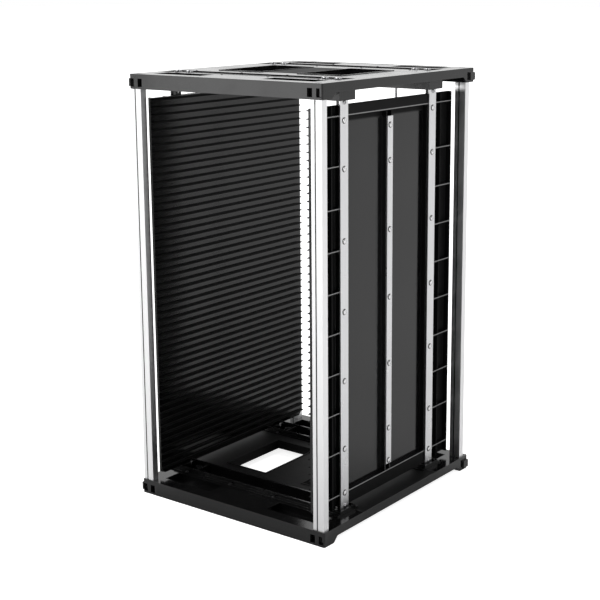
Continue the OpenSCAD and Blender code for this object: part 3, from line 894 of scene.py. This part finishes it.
@dataclass
class TurnedParts:
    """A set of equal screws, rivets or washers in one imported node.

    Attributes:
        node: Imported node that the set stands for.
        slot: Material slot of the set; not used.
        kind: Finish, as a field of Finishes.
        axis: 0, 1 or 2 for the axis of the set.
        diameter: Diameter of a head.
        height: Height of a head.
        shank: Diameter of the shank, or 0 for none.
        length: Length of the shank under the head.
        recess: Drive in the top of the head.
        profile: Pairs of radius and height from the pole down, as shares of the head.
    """

    node: str
    slot: str
    kind: str
    axis: int
    diameter: float
    height: float
    shank: float
    length: float
    recess: Recess = Recess.NONE
    profile: tuple[Pair, ...] = (
        (0.0, 1.0), (0.28, 0.97), (0.52, 0.88), (0.72, 0.73), (0.88, 0.5), (0.97, 0.24), (1.0, 0.0),
        (0.0, 0.0),
    )

    def build(self, paint: Paint, body: str) -> bpy.types.Object:
        """Builds one piece that holds the whole set.

        Args:
            paint: Source of materials.
            body: Body that the set rides on.

        Returns:
            The piece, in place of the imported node.
        """
        tree = PartTree(self.node + "_tree")
        height = tree.size("Head height", self.height)
        part = tree.turned(tree.size("Head radius", self.diameter / 2), height, self.profile)
        if self.recess is not Recess.NONE:
            part = self.recessed(tree, part, height)
        if self.shank:
            length = tree.size("Shank length", self.length)
            rod = tree.turned(tree.size("Shank radius", self.shank / 2), length, SHANK_PROFILE, SHANK_STEPS)
            part = tree.joined(part, tree.moved(rod, z=tree.math("MULTIPLY", length, -1.0)))
        tree.finish(part, paint.get(self.kind))
        spins = random.Random(len(self.node))
        seats = [
            Seat.of_solid(points, self.axis, self.height, spins.uniform(0.0, math.pi))
            for points in Shells.islands(self.node)
        ]
        piece = tree.bake(self.node + "_set", seats)
        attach(piece, body)
        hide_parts(self.node)
        return piece

    def recessed(self, tree: PartTree, head: Socket, height: Socket) -> Socket:
        """Cuts the drive into a head.

        Args:
            tree: Tree of the set.
            head: Geometry of the head.
            height: Height of the head.

        Returns:
            The head with its drive.
        """
        drive = tree.size("Drive radius", self.diameter * DRIVE_SHARES[self.recess])
        tall = tree.math("MULTIPLY", height, DRIVE_REACH)
        if self.recess is Recess.HEXAGON:
            inputs = {"Vertices": 6, "Radius": drive, "Depth": tall}
            tools = [tree.node("GeometryNodeMeshCylinder", inputs).outputs["Mesh"]]
        else:
            wide = tree.math("MULTIPLY", drive, 2.0)
            thin = tree.math("MULTIPLY", drive, CROSS_ARM)
            tools = [tree.block(wide, thin, tall), tree.block(thin, wide, tall)]
        inputs = {"Mesh 1": head}
        cutter = tree.node("GeometryNodeMeshBoolean", inputs, operation="DIFFERENCE", solver="EXACT")
        for tool in tools:
            tree.put(cutter.inputs["Mesh 2"], tree.moved(tool, z=height))
        return cutter.outputs["Mesh"]


# ------------------------------------------------------------- sub-assemblies


ENDS = ("base", "top")
DEPTHS = ("front", "rear")


@dataclass
class EndFrames:
    """The two moulded end frames, their guides and the screws in them.

    Attributes:
        window_x: Middle of an inner corner window along X.
        window_z: Middle of a corner window above a frame's lower face.
        web_inset: Distance of the web behind a window from the frame's rear or front face.
        web: Width, thickness and height of that web.
        cheek_depth: Depth of the cheeks at the web's sides.
        cheek_place: Place of a cheek, as shares of the web's width and of its own depth.
        guide_screw: The set of screws that hold the guides.
    """

    window_x: float = 139.15 * MM
    window_z: float = 8.25 * MM
    web_inset: float = 8.4 * MM
    web: Triple = (9.2 * MM, 0.8 * MM, 12.0 * MM)
    cheek_depth: float = 6.2 * MM
    cheek_place: Pair = (0.44, -0.4)
    guide_screw: TurnedParts = field(
        default_factory=lambda: TurnedParts(
            "guide_screws", "fastener_steel", "blackened", 2, 5.0 * MM, 1.4 * MM, 3.0 * MM, 5.0 * MM,
            Recess.CROSS,
        )
    )

    def build(self, paint: Paint) -> None:
        """Dresses the frames and guides, and builds their screws and the cups of their windows.

        Args:
            paint: Source of materials.
        """
        paint.dress([f"{end}_frame" for end in ENDS], "frame")
        paint.dress([f"guide_{end}_{depth}" for end in ENDS for depth in DEPTHS], "guide")
        self.guide_screw.build(paint, "rack")
        self.back_windows(paint)

    def back_windows(self, paint: Paint) -> bpy.types.Object:
        """Closes the cups behind the inner corner windows of both frames.

        Args:
            paint: Source of materials.

        Returns:
            One piece that holds the eight cups.
        """
        tree = PartTree("window_webs_tree")
        names = ("Web width", "Web thickness", "Web height")
        wide, thin, tall = (tree.size(name, value) for name, value in zip(names, self.web))
        deep = tree.size("Cheek depth", self.cheek_depth)
        aside, back = self.cheek_place
        cheeks = [
            tree.moved(
                tree.block(thin, deep, tall),
                tree.math("MULTIPLY", wide, sign * aside),
                tree.math("MULTIPLY", deep, back),
            )
            for sign in (-1.0, 1.0)
        ]
        tree.finish(tree.joined(tree.block(wide, thin, tall), *cheeks), paint.get("frame"))
        seats = [
            Seat(
                Vector((sx * self.window_x, sy * (high[1] - self.web_inset), low[2] + self.window_z)),
                Euler((0.0, 0.0, turn)),
            )
            for low, high in (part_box(f"{end}_frame") for end in ENDS)
            for sx in (-1.0, 1.0)
            for sy, turn in ((-1.0, 0.0), (1.0, math.pi))
        ]
        piece = tree.bake("window_webs", seats)
        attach(piece, "rack")
        return piece


@dataclass
class Posts:
    """The four extruded posts and the bolts that hold them between the frames."""

    bolt_kind: str = "zinc"

    def build(self, paint: Paint) -> None:
        """Dresses the posts and their bolts."""
        paint.dress([f"post_{depth}_{side}" for depth in DEPTHS for side in ("left", "right")], "post")
        paint.dress(["tie_bolts"], self.bolt_kind)


@dataclass
class CardWall:
    """One card wall with its flats, rivets, carriers and clamp screws.

    Attributes:
        side: Which wall it is.
        rivet_d: Diameter of a rivet's head.
        rivet_h: Height of a rivet's head.
        clamp_d: Diameter of a clamp screw's head.
        clamp_h: Height of a clamp screw's head.
        rib_depth: Height of a board rib above the web.
        rib_thick: Thickness of a board rib.
        rib_low: Height of the lowest rib above the wall's lower edge.
        rib_pitch: Distance between two ribs.
        rib_count: Number of ribs.
        lead_in: Length of the pointed end of a rib.
        point_share: Thickness at the point, as a share of the rib's.
    """

    side: Side
    rivet_d: float = 8.4 * MM
    rivet_h: float = 2.1 * MM
    clamp_d: float = 9.0 * MM
    clamp_h: float = 2.4 * MM
    rib_depth: float = 3.5 * MM
    rib_thick: float = 2.38 * MM
    rib_low: float = 8.0 * MM
    rib_pitch: float = 10.0 * MM
    rib_count: int = 52
    lead_in: float = 9.0 * MM
    point_share: float = 0.4

    def build(self, paint: Paint) -> None:
        """Dresses the wall, and builds its fasteners and the points of its ribs.

        Args:
            paint: Source of materials.
        """
        name, body = self.side.value, self.side.body
        paint.dress([f"{name}_wall"], "wall")
        paint.dress([f"{name}_strap_{place}" for place in ("front", "rear", "middle")], "flat")
        paint.dress([f"{name}_carrier_{end}_{depth}" for end in ENDS for depth in DEPTHS], "carrier")
        paint.dress([f"{name}_washers"], "zinc")
        sets = (
            TurnedParts(
                f"{name}_rivets", "rivet_steel", "rivet", 0, self.rivet_d, self.rivet_h, 4.0 * MM, 10.4 * MM,
                Recess.NONE,
                (
                    (0.0, 1.0), (0.2, 0.985), (0.4, 0.93), (0.6, 0.83), (0.78, 0.66), (0.91, 0.44),
                    (0.98, 0.2), (1.0, 0.0), (0.0, 0.0),
                ),
            ),
            TurnedParts(
                f"{name}_strap_screws", "fastener_steel", "zinc", 0, 5.6 * MM, 2.0 * MM, 3.0 * MM, 8.0 * MM,
                Recess.CROSS,
            ),
            TurnedParts(
                f"{name}_clamp_screws", "fastener_steel", "zinc", 2, self.clamp_d, self.clamp_h, 4.8 * MM,
                12.0 * MM, Recess.HEXAGON,
                (
                    (0.0, 1.0), (0.5, 1.0), (0.78, 0.98), (0.9, 0.88), (0.97, 0.66), (1.0, 0.36), (1.0, 0.04),
                    (0.97, 0.0), (0.0, 0.0),
                ),
            ),
        )
        for parts in sets:
            parts.build(paint, body)
        self.point_ribs(paint)

    def point_ribs(self, paint: Paint) -> bpy.types.Object:
        """Builds the pointed lead-ins at both ends of every board rib.

        Args:
            paint: Source of materials.

        Returns:
            One piece that holds every lead-in.
        """
        name = self.side.value
        low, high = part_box(f"{name}_wall")
        tip = low[0] if self.side is Side.FIXED else high[0]
        tree = PartTree(f"{name}_rib_points_tree")
        thick = tree.size("Rib thickness", self.rib_thick)
        point = tree.size("Point share", self.point_share)
        sides = tree.size("Rib depth", self.rib_depth), tree.size("Lead-in length", self.lead_in), thick
        spot = tree.node("GeometryNodeInputPosition").outputs[0]
        x, y, z = tree.node("ShaderNodeSeparateXYZ", {"Vector": spot}).outputs
        outer = tree.math("GREATER_THAN", y, 0.0)
        share = tree.math("MULTIPLY_ADD", outer, tree.math("SUBTRACT", point, 1.0), 1.0)
        narrowed = tree.vector(x, y, tree.math("MULTIPLY", z, share))
        inputs = {"Geometry": tree.block(*sides), "Position": narrowed}
        tree.finish(tree.node("GeometryNodeSetPosition", inputs).outputs[0], paint.get("wall"))
        middle = tip + self.side.outward * self.rib_depth / 2
        reach = high[1] - self.lead_in / 2
        seats = [
            Seat(Vector((middle, sign * reach, height)), Euler((0.0, 0.0, turn)))
            for height in (low[2] + self.rib_low + k * self.rib_pitch for k in range(self.rib_count))
            for sign, turn in ((1.0, 0.0), (-1.0, math.pi))
        ]
        piece = tree.bake(f"{name}_rib_points", seats)
        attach(piece, self.side.body)
        return piece


@dataclass
class Stopper:
    """The board stopper: a rod between two shoes."""

    def build(self, paint: Paint) -> None:
        """Dresses the rod and its shoes."""
        paint.dress(["stopper_rod"], "rod")
        paint.dress(["stopper_shoe_base", "stopper_shoe_top"], "carrier")


# --------------------------------------------------------------------- studio


@dataclass
class Lamp:
    """A soft rectangular lamp that faces a target.

    Attributes:
        name: Name of the lamp.
        place: Centre of the lamp.
        target: Point that it faces.
        width: Size across.
        height: Size up.
        power: Power in watts.
    """

    name: str
    place: Triple
    target: Triple
    width: float
    height: float
    power: float

    def build(self) -> None:
        """Hangs the lamp."""
        data = bpy.data.lights.new(self.name, "AREA")
        data.shape = "RECTANGLE"
        data.size, data.size_y, data.energy = self.width, self.height, self.power
        lamp = bpy.data.objects.new(self.name, data)
        aim = Vector(self.target) - Vector(self.place)
        lamp.location = self.place
        lamp.rotation_euler = aim.to_track_quat("-Z", "Y").to_euler()
        bpy.context.scene.collection.objects.link(lamp)


@dataclass
class Studio:
    """Floor, world, lamps and camera.

    Attributes:
        azimuth: Angle of the camera round the rack from its front, in degrees.
        elevation: Angle of the camera above the level, in degrees.
        roll: Turn of the camera about its line of sight, in degrees.
        eye: Place of the camera.
        focal: Focal length as a share of the picture's width.
        shift: Shift of the picture across and up, as a share of its width.
        floor_half: Half of the floor's side.
        floor_colour: Colour of the floor under the lamps.
        floor_glow: Glow of the floor where it is seen.
        floor_mirror: Glow of the far floor where it is only reflected.
        floor_rise: Distances over which that glow rises.
        room: Level of the room away from the backdrop.
        backdrop_edge: Where the backdrop fades out, as shares of the way to its middle.
        lamps: Lamps of the studio.
    """

    azimuth: float = 37.094
    elevation: float = 11.5764
    roll: float = -0.3205
    eye: Triple = (1.07582, -1.39797, 0.69546)
    focal: float = 1306.24 / 600.0
    shift: Pair = (-0.03, -0.083333)
    floor_half: float = 30.0
    floor_colour: tuple[float, ...] = (0.8, 0.8, 0.8, 1.0)
    floor_glow: float = 0.85
    floor_mirror: float = 0.4
    floor_rise: Pair = (0.6, 3.0)
    room: float = 0.16
    backdrop_edge: Pair = (-0.1, 0.4)
    lamps: tuple[Lamp, ...] = (
        Lamp("key", (-0.6, -1.7, 1.9), (0.0, 0.0, 0.3), 1.3, 1.3, 26.0),
        Lamp("side", (2.1, -0.1, 1.2), (0.1, 0.0, 0.3), 1.0, 1.6, 12.0),
        Lamp("overhead", (0.0, 0.5, 2.2), (0.0, 0.0, 0.5), 1.6, 1.2, 14.0),
        Lamp("low_front", (-2.25, -3.5, 0.25), (0.0, 0.0, 0.5), 1.8, 0.8, 9.0),
    )

    def build(self) -> None:
        """Builds the whole studio."""
        self.lay_floor()
        self.fill_world()
        for lamp in self.lamps:
            lamp.build()
        self.place_camera()

    @staticmethod
    def seen(graph: NodeGraph) -> Socket:
        """Gives 1 for the rays that show a surface to the viewer, and 0 for the rest."""
        rays = graph.node("ShaderNodeLightPath").outputs
        return graph.math("MAXIMUM", rays["Is Camera Ray"], rays["Is Transmission Ray"])

    def fill_world(self) -> None:
        """Makes the world white where it is seen, and a lit backdrop in a dimmer room for the rest."""
        world = bpy.data.worlds.new("studio_world")
        bpy.context.scene.world = world
        world.use_nodes = True
        graph = NodeGraph(world.node_tree)
        graph.tree.nodes.clear()
        room = graph.node("ShaderNodeBackground", {"Color": WHITE, "Strength": self.backdrop(graph)})
        seen = graph.node("ShaderNodeBackground", {"Color": WHITE, "Strength": 1.0})
        inputs = {0: self.seen(graph), 1: room.outputs[0], 2: seen.outputs[0]}
        mixed = graph.node("ShaderNodeMixShader", inputs)
        graph.node("ShaderNodeOutputWorld", {"Surface": mixed.outputs[0]})

    def backdrop(self, graph: NodeGraph) -> Socket:
        """Strength of the room's light by direction.

        Args:
            graph: Nodes of the world.

        Returns:
            White towards the backdrop, and the dimmer room elsewhere.
        """
        angle = math.radians(self.azimuth)
        way = graph.node("ShaderNodeTexCoord").outputs["Generated"]
        inputs = {0: way, 1: (-math.sin(angle), math.cos(angle), 0.0)}
        ahead = graph.node("ShaderNodeVectorMath", inputs, operation="DOT_PRODUCT").outputs["Value"]
        return graph.spread(ahead, self.room, 1.0, *self.backdrop_edge, "SMOOTHSTEP")

    def lay_floor(self) -> None:
        """Lays a pale floor that keeps the rack's shadow."""
        half = self.floor_half
        mesh = bpy.data.meshes.new("studio_floor")
        corners = [(-half, -half, 0.0), (half, -half, 0.0), (half, half, 0.0), (-half, half, 0.0)]
        mesh.from_pydata(corners, [], [(0, 1, 2, 3)])
        floor = bpy.data.objects.new("studio_floor", mesh)
        bpy.context.scene.collection.objects.link(floor)
        material = bpy.data.materials.new("studio_floor")
        material.use_nodes = True
        graph = NodeGraph(material.node_tree)
        graph.tree.nodes.clear()
        place = graph.node("ShaderNodeTexCoord").outputs["Object"]
        far = graph.node("ShaderNodeVectorMath", {0: place}, operation="LENGTH").outputs["Value"]
        rise = graph.spread(far, 0.0, self.floor_mirror, *self.floor_rise)
        share = graph.math("MULTIPLY_ADD", self.seen(graph), self.floor_glow, rise)
        matt = graph.node("ShaderNodeBsdfDiffuse", {"Color": self.floor_colour})
        glow = graph.node("ShaderNodeEmission", {"Color": WHITE, "Strength": share})
        both = graph.node("ShaderNodeAddShader", {0: matt.outputs[0], 1: glow.outputs[0]})
        graph.node("ShaderNodeOutputMaterial", {"Surface": both.outputs[0]})
        mesh.materials.append(material)

    def place_camera(self) -> None:
        """Places the camera."""
        data = bpy.data.cameras.new("camera")
        data.lens = self.focal * data.sensor_width
        data.shift_x, data.shift_y = self.shift
        data.clip_start, data.clip_end = 0.05, 60.0
        camera = bpy.data.objects.new("camera", data)
        turn = (
            Matrix.Rotation(math.radians(self.azimuth), 3, "Z")
            @ Matrix.Rotation(math.radians(90.0 - self.elevation), 3, "X")
            @ Matrix.Rotation(math.radians(self.roll), 3, "Z")
        )
        camera.location = self.eye
        camera.rotation_euler = turn.to_euler("XYZ")
        bpy.context.scene.collection.objects.link(camera)
        bpy.context.scene.camera = camera


def main() -> None:
    """Builds the rack's looks and the studio round it."""
    logging.basicConfig(level=logging.INFO, format="%(name)s: %(message)s")
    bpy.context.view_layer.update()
    paint = Paint(Finishes())
    for part in (EndFrames(), Posts(), CardWall(Side.FIXED), CardWall(Side.SLIDING), Stopper()):
        LOG.info("building %s", part)
        part.build(paint)
    Studio().build()
    bpy.context.scene.view_settings.view_transform = "Standard"


if __name__ == "__main__":
    main()
